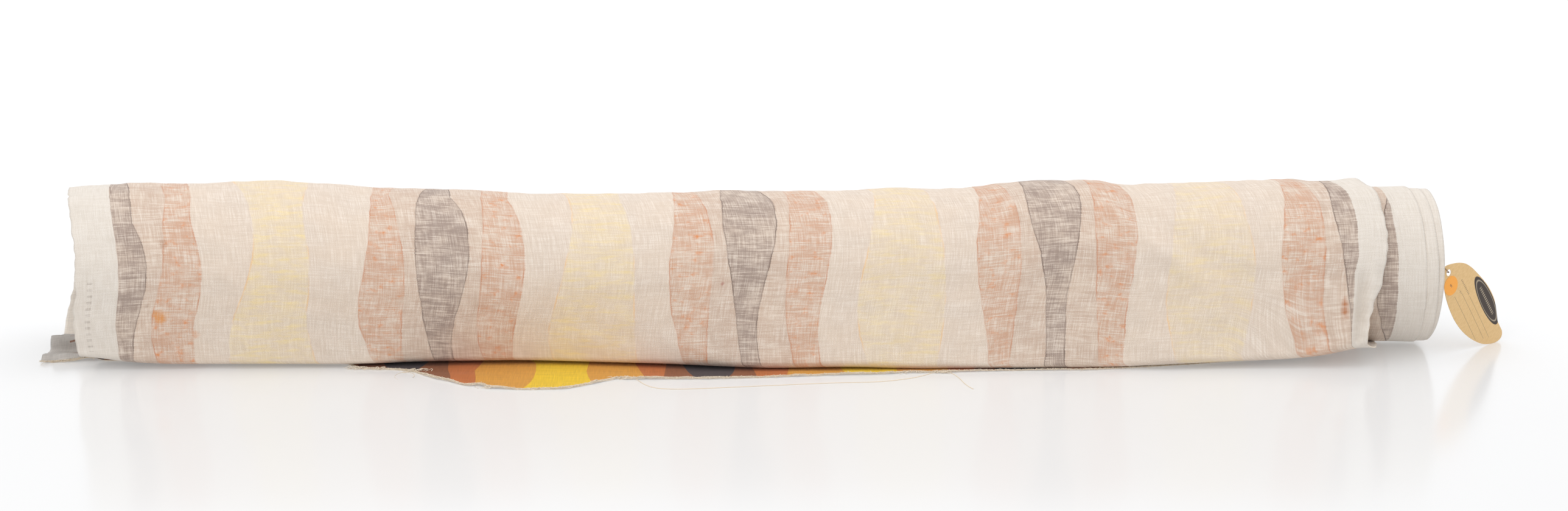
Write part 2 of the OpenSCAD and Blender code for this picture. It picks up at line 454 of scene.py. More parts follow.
FACE_OCHRE = (0.63, 0.29, 0.032)
FACE_YELLOW = (0.76, 0.5, 0.012)
FACE_RUST = (0.48, 0.135, 0.024)
FACE_BROWN = (0.235, 0.075, 0.022)
FACE_BLACK = (0.045, 0.03, 0.032)
DASH_STEP = 0.026  # of the check marks along the plain edge


def cloth_face_material():
    """The printed side, in full colour, with printer's check marks on its plain edge and painted shade
    darkening that edge towards the cut end.
    """
    g = Graph("cloth_face")
    u, v, _ = g.place("UV")
    warp, weft, _, height = cloth_threads(g, u, v)
    dark, rust, pale, brown = print_depths(g, u, v)
    light = g.span(g.plus(warp, weft), 0.7, 1.3, 0.82, 1.12)
    colour = FACE_OCHRE
    for depth, dye in ((pale, FACE_YELLOW), (brown, FACE_BROWN), (rust, FACE_RUST), (dark, FACE_BLACK)):
        colour = g.mix(g.span(depth, -0.0002, 0.0002), colour, dye)
    # Painted shade: the plain edge turns grey towards the cut end, where the tail lies in the roll's shadow.
    plain = g.mix(g.span(v, -0.285, -0.235), (0.52, 0.485, 0.45), (0.76, 0.69, 0.61))
    colour = g.mix(margins(g, u), colour, plain)
    dashes = g.span(g.sine(v, DASH_STEP, 1.2), 0.83, 0.86)
    colour = g.dye(colour, FACE_BROWN, g.within(u, 0.0181, 0.0291, 0.0001), dashes, 0.8)
    shade = g.node("HueSaturation", Color=colour, Value=light)
    normal = g.bump(height, 0.0004, 0.45)
    return g.finish(shade.outputs[0], 0.85, normal, Sheen_Weight=0.08, Sheen_Roughness=0.5)


def yarn_material(name, colour, dark):
    """Spun yarn: fibres twist round it."""
    g = Graph(name)
    x, y, z = g.place("Object")
    along = g.plus(x, g.times(y, 0.8))
    fibre = g.noise(g.point(g.times(along, 1500), g.times(z, 3000)), 1, 3)
    tint = g.mix(g.span(fibre, 0.3, 0.7), dark, colour)
    return g.finish(tint, 0.85, g.bump(fibre, 0.0001, 0.6), Sheen_Weight=0.2)


SEAM_STEP = 0.113  # along the tube, between two turns of its seam


def cardboard_material():
    """Spiral-wound grey-brown board, with its seam and pale fibres."""
    g = Graph("cardboard")
    x, y, z = g.place("Object")
    turn = g.math("ARCTAN2", g.minus(z, AXIS_Z), y)
    along = g.plus(x, g.times(turn, 0.018))
    seam = g.math("ABSOLUTE", g.minus(g.math("FRACT", g.times(along, 1 / SEAM_STEP)), 0.5))
    fibre = g.stretched(x, turn, 700, 60, 2, 4, 0.6)
    speck = g.noise(g.point(x, y, z), 900)
    colour = g.mix(g.span(fibre, 0.3, 0.7), (0.33, 0.215, 0.125), (0.47, 0.33, 0.2))
    colour = g.mix(g.span(speck, 0.62, 0.75), colour, (0.62, 0.5, 0.36))
    colour = g.mix(g.span(seam, 0, 0.012, 0.7, 0), colour, (0.16, 0.1, 0.06))
    height = g.plus(fibre, g.span(seam, 0, 0.015, -2, 0))
    return g.finish(colour, 0.82, g.bump(height, 0.0003, 0.5))


def tape_material():
    g = Graph("paper_tape")
    x, y, _ = g.place("Object")
    crepe = g.stretched(x, y, 1200, 150, 4, 3)
    colour = g.mix(g.span(crepe, 0.3, 0.7), (0.62, 0.5, 0.3), (0.74, 0.63, 0.42))
    return g.finish(colour, 0.6, g.bump(crepe, 0.0002, 0.6))


# ---------- camera, lights and table

AZIMUTH = math.radians(1.3)
ELEVATION = math.radians(13.7)
CAMERA_FAR = 2.42
CAMERA_AIM = Vector((0.048, -0.085, 0.1105))
FOCAL_WIDTHS = 1.6646  # focal length for each unit of picture width
SENSOR = 36
PAINTED_TABLE_GLOW = 0.21  # painted glow of the table top, an emission that lightens the shadows on it


def point_at(thing, place, aim):
    thing.location = place
    thing.rotation_mode = "QUATERNION"
    thing.rotation_quaternion = (aim - place).to_track_quat("-Z", "Y")


def make_camera():
    data = bpy.data.cameras.new("camera")
    data.sensor_width = SENSOR
    data.lens = SENSOR * FOCAL_WIDTHS
    camera = put_in_scene("camera", data)
    ahead = Vector((
        math.sin(AZIMUTH) * math.cos(ELEVATION),
        math.cos(AZIMUTH) * math.cos(ELEVATION),
        -math.sin(ELEVATION),
    ))
    point_at(camera, CAMERA_AIM - ahead * CAMERA_FAR, CAMERA_AIM)
    bpy.context.scene.camera = camera


def area_light(name, place, aim, size, power, colour=(1, 1, 1)):
    data = bpy.data.lights.new(name, "AREA")
    data.shape = "RECTANGLE"
    data.size, data.size_y = size
    data.energy = power
    data.color = colour
    point_at(put_in_scene(name, data), Vector(place), Vector(aim))


def make_stage():
    scene = bpy.context.scene
    scene.view_settings.view_transform = "Standard"
    scene.view_settings.look = "None"
    world = bpy.data.worlds.new("white_room")
    world.use_nodes = True
    background = world.node_tree.nodes["Background"]
    background.inputs["Color"].default_value = (0.985, 0.99, 1, 1)
    background.inputs["Strength"].default_value = 1.06
    scene.world = world
    area_light("top_softbox", (0.1, -0.35, 2.6), (0, 0, 0), (3.4, 2.0), 15.5)
    area_light("front_softbox", (-1.4, -2.6, 1.7), (0, 0, 0.05), (1.6, 1.2), 9, (1, 0.99, 0.97))

    g = Graph("gloss_table")
    x, y, z = g.place("Object")
    cloudy = g.noise(g.point(x, y, z), 2, 2)
    # Painted shade: the table is painted darker in front of the roll than behind it, for the roll's shadow
    # and reflection there.
    colour = g.mix(g.span(y, -0.25, 0.45), (0.555, 0.555, 0.555), (0.65, 0.655, 0.66))
    gloss = g.span(cloudy, 0.3, 0.7, 0.15, 0.18)
    # Painted light: the table glows to lighten the shadows on it and under the cloth; no lamp is there.
    g.finish(colour, gloss, Emission_Color=(1, 1, 1, 1), Emission_Strength=PAINTED_TABLE_GLOW)
    half = 14.0
    corners = [(-half, -half, 0), (half, -half, 0), (half, half, 0), (-half, half, 0)]
    floor = new_mesh("table_top", corners, [(0, 1, 2, 3)], g.material)


# ---------- cords

THREAD_D = 0.0008
YARN_D = 0.0006
TAG_THREAD = [
    (0.6619, -0.0666, 0.0953), (0.665, -0.0659, 0.0949), (0.6682, -0.0646, 0.0938),
    (0.6718, -0.0596, 0.0889), (0.6757, -0.0558, 0.0854), (0.6782, -0.0536, 0.0832),
    (0.6788, -0.0524, 0.0824), (0.6783, -0.0509, 0.0821), (0.6771, -0.0501, 0.0824),
    (0.6759, -0.0504, 0.0832), (0.6734, -0.0527, 0.0854), (0.6706, -0.0568, 0.0889),
    (0.6686, -0.0624, 0.0932), (0.6652, -0.064, 0.0944), (0.6619, -0.0648, 0.095),
]
LONG_YARN = [
    (-0.09, -0.112, 0.0006), (-0.086, -0.121, 0.0005), (-0.081, -0.131, 0.0004), (-0.074, -0.14, 0.0004),
    (-0.064, -0.145, 0.0004), (-0.05, -0.1465, 0.0004), (-0.03, -0.145, 0.0004),
    (-0.005, -0.1415, 0.0004), (0.022, -0.138, 0.0004), (0.05, -0.1345, 0.0004), (0.076, -0.131, 0.0004),
    (0.1, -0.1288, 0.0004), (0.122, -0.128, 0.0004), (0.138, -0.126, 0.0004), (0.151, -0.122, 0.0004),
    (0.164, -0.1165, 0.0004), (0.176, -0.109, 0.0004), (0.186, -0.099, 0.0005),
]
SHORT_YARN = [
    (0.203, -0.097, 0.0005), (0.2046, -0.101, 0.0004), (0.2062, -0.1049, 0.0004),
    (0.2075, -0.1086, 0.0004), (0.2086, -0.1124, 0.0004), (0.2096, -0.1162, 0.0004),
    (0.2105, -0.12, 0.0004), (0.2112, -0.1238, 0.0004), (0.2119, -0.1276, 0.0004),
    (0.2126, -0.1314, 0.0004), (0.2135, -0.1352, 0.0004), (0.2145, -0.1389, 0.0004),
    (0.2156, -0.1424, 0.0004), (0.2168, -0.1458, 0.0004), (0.2181, -0.149, 0.0004),
    (0.2195, -0.152, 0.0004),
]


def make_cords():
    brown = yarn_material("tag_thread", (0.3, 0.16, 0.08), (0.14, 0.07, 0.035))
    cream = yarn_material("yarn", (0.88, 0.76, 0.6), (0.7, 0.55, 0.38))
    thread = cord_curve("tie_thread", TAG_THREAD, THREAD_D, brown)
    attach(thread, "tag_tie")
    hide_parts("tag_thread")
    yarns = (("pulled_yarn_long", LONG_YARN, 0.303), ("pulled_yarn_short", SHORT_YARN, 0.058))
    for name, route, length in yarns:
        yarn = cord_curve(name, route, YARN_D, cream)
        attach(yarn, "free_end")
        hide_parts("loose_yarns")


# ---------- loose outer turn and cut end

# Radius of the loose turn about the tube's axis, at the top, along the roll
TOP_RADIUS = [
    (-0.645, 0.0785), (-0.615, 0.081), (-0.59, 0.0832), (-0.546, 0.0853), (-0.511, 0.0852),
    (-0.484, 0.0833), (-0.437, 0.0838), (-0.401, 0.0842), (-0.365, 0.0804), (-0.325, 0.0785),
    (-0.295, 0.0788), (-0.24, 0.0752), (-0.195, 0.0718), (-0.084, 0.0718), (-0.039, 0.0732),
    (0.0, 0.0745), (0.032, 0.0734), (0.124, 0.074), (0.156, 0.0766), (0.189, 0.075), (0.234, 0.0753),
    (0.257, 0.0787), (0.286, 0.082), (0.313, 0.0836), (0.351, 0.0817), (0.38, 0.0783), (0.438, 0.0806),
    (0.511, 0.0803), (0.584, 0.0818), (0.6, 0.0842), (0.62, 0.0822),
]
# Height of the front's bottom fold above the cloth that lies on the table
FOLD_LIFT = [
    (-0.64, 0.0175), (-0.6, 0.016), (-0.575, 0.0115), (-0.535, 0.0088), (-0.342, 0.0078),
    (-0.297, 0.0098), (-0.195, 0.0102), (-0.14, 0.0087), (-0.059, 0.0064), (-0.014, 0.0042),
    (0.032, 0.0022), (0.112, 0.003), (0.169, 0.001), (0.34, 0.0008), (0.392, 0.0026), (0.473, 0.0062),
    (0.514, 0.0072), (0.554, 0.0104), (0.581, 0.016), (0.592, 0.019), (0.63, 0.015),
]
# Share of that height which the fold loses by slipping back under the roll, towards its left end
SUNK = [(-0.64, 0.15), (-0.6, 0.25), (-0.56, 0.45), (-0.5, 0.55), (-0.15, 0.55), (-0.06, 0.4),
        (0.02, 0.1), (0.06, 0.0)]
# Distance in front of the axis that the cut edge of the cloth reaches
CUT_EDGE = [
    (-0.67, -0.047), (-0.654, -0.046), (-0.61, -0.038), (-0.56, -0.042), (-0.4, -0.052), (-0.362, -0.056),
    (-0.35, -0.072), (-0.325, -0.074), (-0.3, -0.08), (-0.29, -0.092), (-0.276, -0.106), (-0.262, -0.115),
    (-0.246, -0.13), (-0.23, -0.13), (-0.2245, -0.138), (-0.194, -0.144), (-0.154, -0.1425),
    (-0.137, -0.132), (-0.122, -0.121), (-0.106, -0.109), (-0.099, -0.113), (-0.082, -0.112),
    (-0.028, -0.113), (0.028, -0.11), (0.093, -0.1035), (0.144, -0.101), (0.16, -0.097), (0.2, -0.0965),
    (0.215, -0.095), (0.26, -0.0924), (0.34, -0.0915), (0.392, -0.083), (0.43, -0.076), (0.473, -0.066),
    (0.5, -0.06), (0.55, -0.045), (0.6, -0.04),
]
PACK_TAPER = [(-0.66, 0.985), (-0.3, 0.975), (-0.2, 0.955), (-0.05, 0.955), (0.14, 0.985),
              (0.3, 1.01), (0.6, 1.03), (0.68, 1.033)]
STATION_STEP = 0.004  # between two profiles of the cloth along the roll
LOOSE_R = 0.076  # of the loose turn where it lies on the pack
TURN_Y = 0.026  # where the cloth under the roll starts to rise behind it
RISE_ANGLE = math.radians(-28)  # where it meets the loose turn
TOP_ANGLE = math.radians(103.7)  # the top as the viewer in front sees it
SAMPLES = {"table": 36, "rise": 16, "loop": 84, "front": 26, "fold": 12, "tuck": 16}


def pack_radius(x):
    return PACK_R * through(PACK_TAPER, x, 0.03)


def curve_between(start, start_way, end, end_way, count):
    """A smooth line from start to end that leaves and arrives in the given directions."""
    t = np.linspace(0, 1, count)[:, None]
    return (
        (2 * t**3 - 3 * t**2 + 1) * start
        + (t**3 - 2 * t**2 + t) * start_way
        + (3 * t**2 - 2 * t**3) * end
        + (t**3 - t**2) * end_way
    )


def cloth_profile(x):
    """The cloth's line in the (y, z) plane at x, from the cut edge to its end under the pack."""
    top = float(through(TOP_RADIUS, x, 0.008))
    slack = top - LOOSE_R
    radius = LOOSE_R + 0.35 * slack
    centre = np.array([-0.0015, AXIS_Z + 0.65 * slack / math.cos(ELEVATION)])
    lift = float(through(FOLD_LIFT, x, 0.012)) + FLAT_Z
    fold_r = FOLD_R + 0.25 * max(lift - 0.01, 0)
    reach = FOLD_REACH - 0.1 * lift
    sunk = lift * float(through(SUNK, x, 0.012))
    lift = lift - sunk
    reach = reach - sunk / math.tan(ELEVATION)
    fold = np.array([fold_r - reach, lift + fold_r])
    between = fold - centre
    far = np.linalg.norm(between)
    along = math.atan2(between[1], between[0])
    front_angle = along - math.acos((radius - fold_r) / far)
    front_angle %= 2 * math.pi

    def on(middle, r, angle):
        return middle + r * np.array([np.cos(angle), np.sin(angle)]).T

    cut = np.array([float(through(CUT_EDGE, x, 0.0015)), FLAT_Z])
    turn = np.array([TURN_Y, FLAT_Z])
    lines = [cut + np.linspace(0, 1, SAMPLES["table"])[:, None] * (turn - cut)]
    join = on(centre, radius, RISE_ANGLE)
    join_way = np.array([-math.sin(RISE_ANGLE), math.cos(RISE_ANGLE)]) * 0.06
    lines.append(curve_between(turn, np.array([0.05, 0]), join, join_way, SAMPLES["rise"] + 1)[1:])
    angles = np.linspace(RISE_ANGLE, front_angle, SAMPLES["loop"] + 1)[1:]
    lines.append(on(centre, radius, angles))
    start = lines[-1][-1]
    stop = on(fold, fold_r, front_angle)
    lines.append(start + np.linspace(0, 1, SAMPLES["front"] + 1)[1:, None] * (stop - start))
    angles = np.linspace(front_angle, 1.5 * math.pi, SAMPLES["fold"] + 1)[1:]
    lines.append(on(fold, fold_r, angles))
    under = np.array([0.012, max(AXIS_Z - float(pack_radius(x)) - 0.0009, 2.4 * FLAT_Z)])
    lines.append(curve_between(lines[-1][-1], np.array([0.07, -0.3 * lift]), under,
                               np.array([0.05, 0]), SAMPLES["tuck"] + 1)[1:])
    return np.concatenate(lines)


def sample_at(region, share):
    """The number of the profile's sample that is that share of the way along a region."""
    names = list(SAMPLES)
    before = sum(SAMPLES[n] for n in names[: names.index(region)])
    return before - 1 + share * SAMPLES[region]


# The selvages by region of the profile: share of the way along it, x of the left and right selvage
SELVAGES = {
    "table": [(0.03, -0.6544, 0.574), (0.35, -0.6548, 0.572), (0.7, -0.6508, 0.57),
        (1, -0.6525, 0.568)],
    "rise": [(0.45, -0.653, 0.564), (0.8, -0.6512, 0.562)],
    "loop": [(0.01, -0.6465, 0.562), (0.15, -0.6445, 0.568), (0.3, -0.6405, 0.58),
        (0.4, -0.6362, 0.588), (0.5, -0.6322, 0.597), (0.595, -0.6274, 0.603),
        (0.64, -0.6238, 0.6058), (0.69, -0.6202, 0.61), (0.74, -0.6167, 0.6118),
        (0.785, -0.6132, 0.613), (0.83, -0.6102, 0.6137), (0.88, -0.6078, 0.614),
        (0.93, -0.6074, 0.6136), (1, -0.6088, 0.6112)],
    "front": [(0.19, -0.6112, 0.6082), (0.385, -0.6127, 0.6031), (0.58, -0.6133, 0.5995),
        (0.77, -0.613, 0.5958), (0.92, -0.6124, 0.5942)],
    "fold": [(0.35, -0.6122, 0.594), (1, -0.608, 0.606)],
    "tuck": [(1, -0.592, 0.628)],
}
# Soft creases of the front: (x, v) of both ends, height and half width. A negative height is a dip.
CREASES = [
    ((0.352, 0.03), (0.44, 0.108), 0.0032, 0.007),
    ((0.372, 0.022), (0.47, 0.1), -0.0026, 0.008),
    ((0.265, 0.035), (0.33, 0.075), 0.0023, 0.008),
    ((0.235, 0.02), (0.29, 0.062), -0.0021, 0.0085),
    ((0.395, 0.12), (0.435, 0.165), -0.0014, 0.01),
    ((-0.59, 0.052), (-0.56, 0.105), -0.0016, 0.011),
    ((-0.598, 0.128), (-0.582, 0.19), 0.0014, 0.008),
    ((-0.36, 0.02), (-0.23, 0.046), 0.0012, 0.01),
    ((0.5905, 0.108), (0.5865, 0.166), -0.0068, 0.0036),
    ((0.6, 0.095), (0.595, 0.165), 0.0036, 0.004),
    ((0.577, 0.12), (0.576, 0.17), 0.0018, 0.006),
    ((0.12, 0.015), (0.19, 0.05), -0.0012, 0.012),
    ((-0.06, 0.15), (0.02, 0.185), 0.001, 0.012),
]


# Rolled folds of the tail: height, place in front of the axis, half widths before and behind it
TAIL_FOLDS = [(0.0052, -0.0355, 0.0026, 0.0095), (0.016, -0.002, 0.0038, 0.0105)]


def crease_height(x, v):
    total = np.zeros(x.shape)
    for (xa, va), (xb, vb), height, width in CREASES:
        way = np.array([xb - xa, vb - va])
        length = np.linalg.norm(way)
        way /= length
        along = (x - xa) * way[0] + (v - va) * way[1]
        away = -(x - xa) * way[1] + (v - va) * way[0]
        inside = smooth((along + 0.3 * length) / (0.5 * length))
        inside = inside * smooth((1.3 * length - along) / (0.5 * length))
        total += height * inside * bell(away, 0, width)
    return total


def near_selvage(across, width):
    """1 at both selvages, fading over the given width."""
    return bell(np.minimum(across, 1 - across)[:, None] * CLOTH_WIDTH, 0, width)


def draped_points(across, order):
    """The smooth sheet: a grid of points across the cloth and along its profile."""
    stations = np.arange(-0.672, 0.645, STATION_STEP)
    profiles = np.stack([cloth_profile(x) for x in stations])
    keys = [(sample_at(region, share), *ends) for region in SELVAGES for share, *ends in SELVAGES[region]]
    left = through([(k, a) for k, a, _ in keys], order, 2.5)
    right = through([(k, b) for k, _, b in keys], order, 2.5)
    x = left + across[:, None] * (right - left)
    spot = (x - stations[0]) / STATION_STEP
    low = np.clip(spot.astype(int), 0, len(stations) - 2)
    share = (spot - low)[..., None]
    yz = profiles[low, order] * (1 - share) + profiles[low + 1, order] * share
    return np.concatenate([x[..., None], yz], axis=2)


def lengths_from_top(points):
    """(v of every point, mean length of the cloth), both measured along the cloth."""
    step = np.linalg.norm(np.diff(points[:, :, 1:], axis=1), axis=2)
    v = np.concatenate([np.zeros((len(points), 1)), np.cumsum(step, axis=1)], axis=1)
    centre_angle = np.arctan2(points[..., 2] - AXIS_Z, points[..., 1])
    loop = slice(int(sample_at("rise", 1)) + 1, int(sample_at("front", 0)))
    for row, (angles, lengths) in enumerate(zip(centre_angle[:, loop], v[:, loop])):
        upper = (angles > 1.0) & (angles < 2.6)
        v[row] -= np.interp(TOP_ANGLE, angles[upper], lengths[upper])
    return v, float(step.sum(axis=1).mean())


def crumple(points, v, across, order):
    """Unevenness and creases of the cloth that hangs on the roll."""
    x = points[..., 0]
    hung = smooth((order - sample_at("rise", 0.9)) / 12) * smooth((sample_at("fold", 0.6) - order) / 8)
    loose = smooth((through(TOP_RADIUS, x, 0.02) - 0.0735) / 0.006) * 0.75 + 0.25
    normal = grid_normals(points)
    outward = np.stack([np.zeros(x.shape), points[..., 1], points[..., 2] - AXIS_Z], axis=2)
    facing = np.sign((normal * outward).sum(axis=2))[..., None]
    normal *= np.where(facing == 0, 1, facing)
    relief = 0.0011 * waves(x, v, 11, 12, 0.26, 0.06, 1.6) * loose
    relief += 0.00045 * waves(x, v, 12, 10, 0.06, 0.018, 3.0)
    relief += crease_height(x, v)
    relief += 0.0014 * waves(v, 0, 13, 6, 0.12, 0.035, 0.2) * near_selvage(across, 0.012)
    points += normal * (relief * hung)[..., None]


def lift_off_table(points, order):
    """Waves of the lying cloth: its front strip, its cut edge and the rolled tail at its left end."""
    x = points[..., 0]
    on_table = smooth((sample_at("table", 0.97) - order) / 4)
    front = smooth((-0.086 - points[..., 1]) / 0.012) * on_table
    edge = bell(points[..., 1] - through(CUT_EDGE, x, 0.0015), 0, 0.007) * on_table
    lift = 0.0003 * (1 + waves(x, points[..., 1], 21, 8, 0.11, 0.03)) * front
    lift += 0.0004 * (1 + waves(x, 0, 22, 9, 0.07, 0.014)) * edge * front
    tail = smooth((-0.596 - x) / 0.012) * on_table
    y = points[..., 1]
    ripple = 0.0006 * (1 + waves(x, y, 23, 6, 0.05, 0.02))
    for height, middle, before, behind in TAIL_FOLDS:
        ripple += height * bell(y, middle, np.where(y < middle, before, behind))
    lift += tail * ripple
    points[..., 1] -= 0.55 * tail * smooth((ripple - 0.001) / 0.006) * ripple * (y < 0.004)
    points[..., 2] += np.maximum(lift, 0)
    points[..., 2] = np.maximum(points[..., 2], FLAT_Z * 0.8)


def print_places(v, across, order):
    """(u, v) of every point, with the print drawn round at the lower right corner."""
    u = np.repeat(across[:, None] * CLOTH_WIDTH, len(order), axis=1)
    rolled = np.interp(v, [0.1, 0.12, 0.14, 0.16, 0.19], [0, 0.005, 0.011, 0.018, 0.021])
    corner = smooth((u - 1.08) / 0.08)
    u = u - rolled * corner * (1 - smooth((u - 1.198) / 0.02))
    lying = 1 - smooth((order - sample_at("table", 0.5)) / 12)
    along = v - 0.6 * corner * np.maximum(v - 0.1, 0) - 0.18 * lying
    return np.stack([u, along], axis=2)


def outer_cloth(materials):
    """The cut end, the layer under the roll and the whole loose outer turn: one sheet."""
    order = np.arange(sum(SAMPLES.values()))
    across = np.concatenate([
        np.arange(0, 0.05, 0.0022), np.arange(0.05, 1.17, 0.0046), np.arange(1.17, 1.2201, 0.0022)
    ])
    across = across / across[-1]
    points = draped_points(across, order)
    v, length = lengths_from_top(points)
    crumple(points, v, across, order)
    lift_off_table(points, order)
    points[..., 0] += 0.0007 * waves(v, 0, 31, 8, 0.05, 0.012, 0.2) * near_selvage(across, 0.004)
    uvs = print_places(v, across, order)
    return cloth_sheet("outer_cloth", points, uvs, materials), points, length


def cloth_sheet(name, points, uvs, materials):
    """A sheet from grids of points and uvs, with its reverse, face and edge materials."""
    at = np.arange(points.shape[0] * points.shape[1]).reshape(points.shape[:2])
    cloth = new_mesh(name, points.reshape(-1, 3), grid_faces(at), materials[0], uvs.reshape(-1, 2))
    for material in materials[1:]:
        cloth.data.materials.append(material)
    thicken(cloth)
    return cloth


def thicken(cloth):
    """Gives a sheet its thickness, with its second material inside and its third on the rim."""
    solid = cloth.modifiers.new("thickness", "SOLIDIFY")
    solid.thickness = CLOTH_THICK
    solid.offset = 0
    solid.material_offset = 1
    solid.material_offset_rim = 2
    solid.use_quality_normals = False
    bpy.context.view_layer.update()
    evaluated = cloth.evaluated_get(bpy.context.evaluated_depsgraph_get())
    made = bpy.data.meshes.new_from_object(evaluated)
    cloth.modifiers.clear()
    cloth.data = made


FRINGE_R = 0.00031
YARN_LOW = 0.0003  # lowest that the middle of a yarn lies
# Tangles of the fringe: place, number of curls and their size
TANGLES = [
    (0.196, -0.0985, 34, 0.0035), (-0.297, -0.083, 24, 0.0045), (-0.352, -0.073, 18, 0.004),
    (-0.336, -0.075, 14, 0.004), (-0.226, -0.137, 12, 0.003), (-0.1, -0.112, 20, 0.0035),
    (0.165, -0.0985, 16, 0.003),
]


def running_yarn(rng, edge, away, number):
    """A yarn along a stretch of the cut edge. The first three run from end to end."""
    start = rng.uniform(0, away[-1] * 0.55) if number > 2 else 0.0
    stop = min(start + rng.uniform(0.08, 0.4), away[-1]) if number > 2 else away[-1]
    along = np.arange(start, stop, 0.0022)
    line = np.stack([np.interp(along, away, edge[:, k]) for k in range(3)], axis=1)
    for k, offset, size, seed in ((1, 0.0002, 0.00045, 60), (2, 0.0006, 0.0002, 80)):
        uneven = size * waves(along, 0, seed + number, 8, 0.03, 0.006, 0.2)
        line[:, k] += offset - 0.00018 * number + uneven
    line[:, 2] = np.maximum(line[:, 2], YARN_LOW)
    return line


def short_end(rng, root):
    """One frayed end across the cut edge."""
    reach = 0.0007 + rng.gamma(2.5, 0.0007)
    way = unit(np.array([rng.normal(0, 0.5), -1, abs(rng.normal(0.15, 0.3))]))
    bend = np.array([rng.normal(0, 0.4), rng.normal(0, 0.2), -0.3]) * reach
    tip = root + way * reach + bend
    tip[2] = max(tip[2], YARN_LOW)
    return [root, root + way * reach * 0.55, tip]


def curl(rng, x, y, size):
    """One curled yarn of a tangle."""
    turn = rng.uniform(0, 2 * math.pi)
    sweep = rng.uniform(1.5, 4.5)
    wide = size * rng.uniform(0.4, 1.0)
    middle = np.array([x, y, 0.0012]) + rng.normal(0, 1, 3) * [0.005, 0.0015, 0.0004]
    steps = np.linspace(0, sweep, 8)
    return np.stack([
        middle[0] + wide * 1.4 * np.cos(turn + steps),
        np.minimum(middle[1] + wide * 0.5 * np.sin(turn + steps), y + 0.002),
        np.maximum(middle[2] + wide * 0.3 * np.sin(2 * steps + turn), 0.0004),
    ], axis=1)


def cut_edge_fringe(points, threads):
    """Yarns along the frayed cut edge, short ends across it, and the tangles that stand out from it."""
    rng = np.random.default_rng(41)
    edge = points[:, 0, :]
    tail = edge[edge[:, 0] < -0.6]
    front = edge[(edge[:, 0] > -0.37) & (edge[:, 0] < 0.45)]
    lines = []
    for part in (tail, front):
        away = np.cumsum(np.linalg.norm(np.diff(part, axis=0, prepend=part[:1]), axis=1))
        runs = [running_yarn(rng, part, away, number) for number in range(9)]
        lines += [line for line in runs if len(line) > 3]
        for start, stop in zip(part[:-1], part[1:]):
            for share in rng.uniform(0, 1, 11):
                lines.append(short_end(rng, start + share * (stop - start) + [0, 0.0012, 0.0005]))
    for x, y, number, size in TANGLES:
        lines += [curl(rng, x, y, size) for _ in range(number)]
    turn = np.linspace(-0.4, 4.2, 16)
    loop = [-0.305 + 0.009 * np.cos(turn), -0.098 + 0.013 * np.sin(turn), 0.0005 + 0 * turn]
    lines.append(np.stack(loop, axis=1))
    return tubes("cut_edge_fringe", lines, FRINGE_R, threads, 3)


# ---------- tight turns on the tube

# Right edge of each turn: turns inwards from the outermost, x of the edge
RIGHT_EDGES = [
    (0.0, 0.634), (0.25, 0.643), (0.5, 0.65), (0.75, 0.6525), (0.9, 0.656), (1.0, 0.66), (1.5, 0.661),
    (1.75, 0.664), (2.0, 0.668), (2.4, 0.669), (3.0, 0.6695), (3.15, 0.6612), (9.4, 0.6606),
    (9.7, 0.6668), (29.4, 0.6668), (29.8, 0.669), (60.0, 0.669),
]
PACK_OUTER = PACK_R - CLOTH_THICK / 2
PACK_INNER = TUBE_R + CLOTH_THICK
START_ANGLE = math.radians(-84)  # under the pack, where the outer cloth hands over
SPIRAL_V = 0.485  # place along the cloth where these turns begin


def wound_turns(name, first, last, steps, across, materials):
    """A stretch of the spiral, from first to last turn counted inwards from the outside."""
    turns = np.linspace(first, last, int((last - first) * steps) + 1)
    angle = START_ANGLE + 2 * math.pi * turns
    ragged = waves(turns * 0.35, 0, 51, 7, 1.0, 0.12, 0.1)
    right = through(RIGHT_EDGES, turns, 0.04) + 0.00035 * ragged * np.clip(turns - 3.2, 0, 1)
    left = right - CLOTH_WIDTH
    x = left + across[:, None] * CLOTH_WIDTH
    radius = PACK_OUTER - PITCH * turns
    taper = (radius - PACK_INNER) / (PACK_OUTER - PACK_INNER)
    scale = 1 + (pack_radius(x) / PACK_R - 1) * taper
    r = radius * scale
    uneven = 0.00022 * waves(angle * 0.02, x, 52, 9, 0.12, 0.02, 1.2)
    puff = 0.0005 * waves(turns, 0, 53, 9, 1.3, 0.09, 0.1) * near_selvage(across, 0.012)
    r = r + uneven + puff
    points = np.stack([x, r * np.cos(angle), AXIS_Z + r * np.sin(angle)], axis=2)
    v = SPIRAL_V + 2 * math.pi * (PACK_OUTER * turns - PITCH * turns**2 / 2)
    uvs = np.stack(np.broadcast_arrays(across[:, None] * CLOTH_WIDTH, v), axis=2)
    return cloth_sheet(name, points, uvs, materials), float(v[-1] - v[0])


